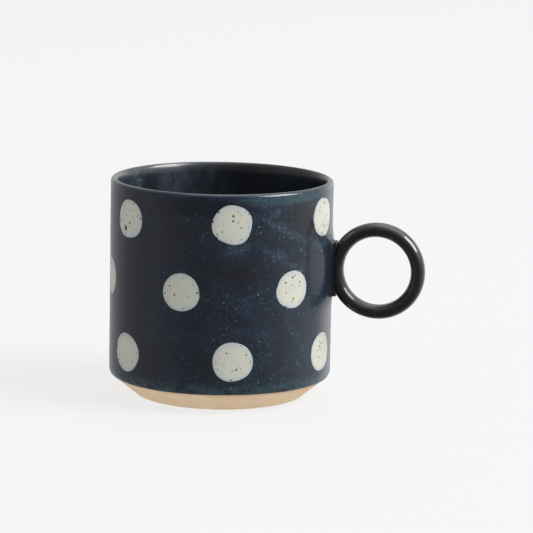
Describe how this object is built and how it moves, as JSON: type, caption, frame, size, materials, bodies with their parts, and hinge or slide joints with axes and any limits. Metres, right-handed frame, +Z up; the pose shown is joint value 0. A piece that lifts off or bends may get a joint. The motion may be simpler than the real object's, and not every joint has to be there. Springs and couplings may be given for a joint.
{
  "type": "stoneware mug",
  "caption": "Straight-sided stoneware mug in dark reactive glaze with pale round spots, a bare clay foot and a full-ring handle held to the wall by a small pad.",
  "frame": {"origin": "centre of the foot, on the plane that the mug stands on", "axes": "+Z up along the mug's axis, +X out through the ring handle, +Y to the left of somebody who looks out along the handle"},
  "size_m": [0.1289, 0.09, 0.088],
  "materials": {
    "bare_stoneware": "matte, fired but unglazed, fine grain",
    "outer_glaze": "glossy reactive glaze, near-black navy with blue mottling",
    "inner_glaze": "glossy, near-black navy",
    "handle_glaze": "glossy, near-black",
    "spot_glaze": "satin cream-white with brown iron specks"
  },
  "bodies": {
    "root": {"stoneware_body": "bare_stoneware", "outer_glaze": "outer_glaze", "inner_glaze": "inner_glaze", "handle_pad": "bare_stoneware", "handle_ring": "bare_stoneware", "handle_glaze": "handle_glaze", "spot_top_1": "spot_glaze", "spot_top_2": "spot_glaze", "spot_top_3": "spot_glaze", "spot_top_4": "spot_glaze", "spot_top_5": "spot_glaze", "spot_top_6": "spot_glaze", "spot_middle_1": "spot_glaze", "spot_middle_2": "spot_glaze", "spot_middle_3": "spot_glaze", "spot_middle_4": "spot_glaze", "spot_middle_5": "spot_glaze", "spot_middle_6": "spot_glaze", "spot_bottom_1": "spot_glaze", "spot_bottom_2": "spot_glaze", "spot_bottom_3": "spot_glaze", "spot_bottom_4": "spot_glaze", "spot_bottom_5": "spot_glaze", "spot_bottom_6": "spot_glaze"}
  },
  "joints": []
}
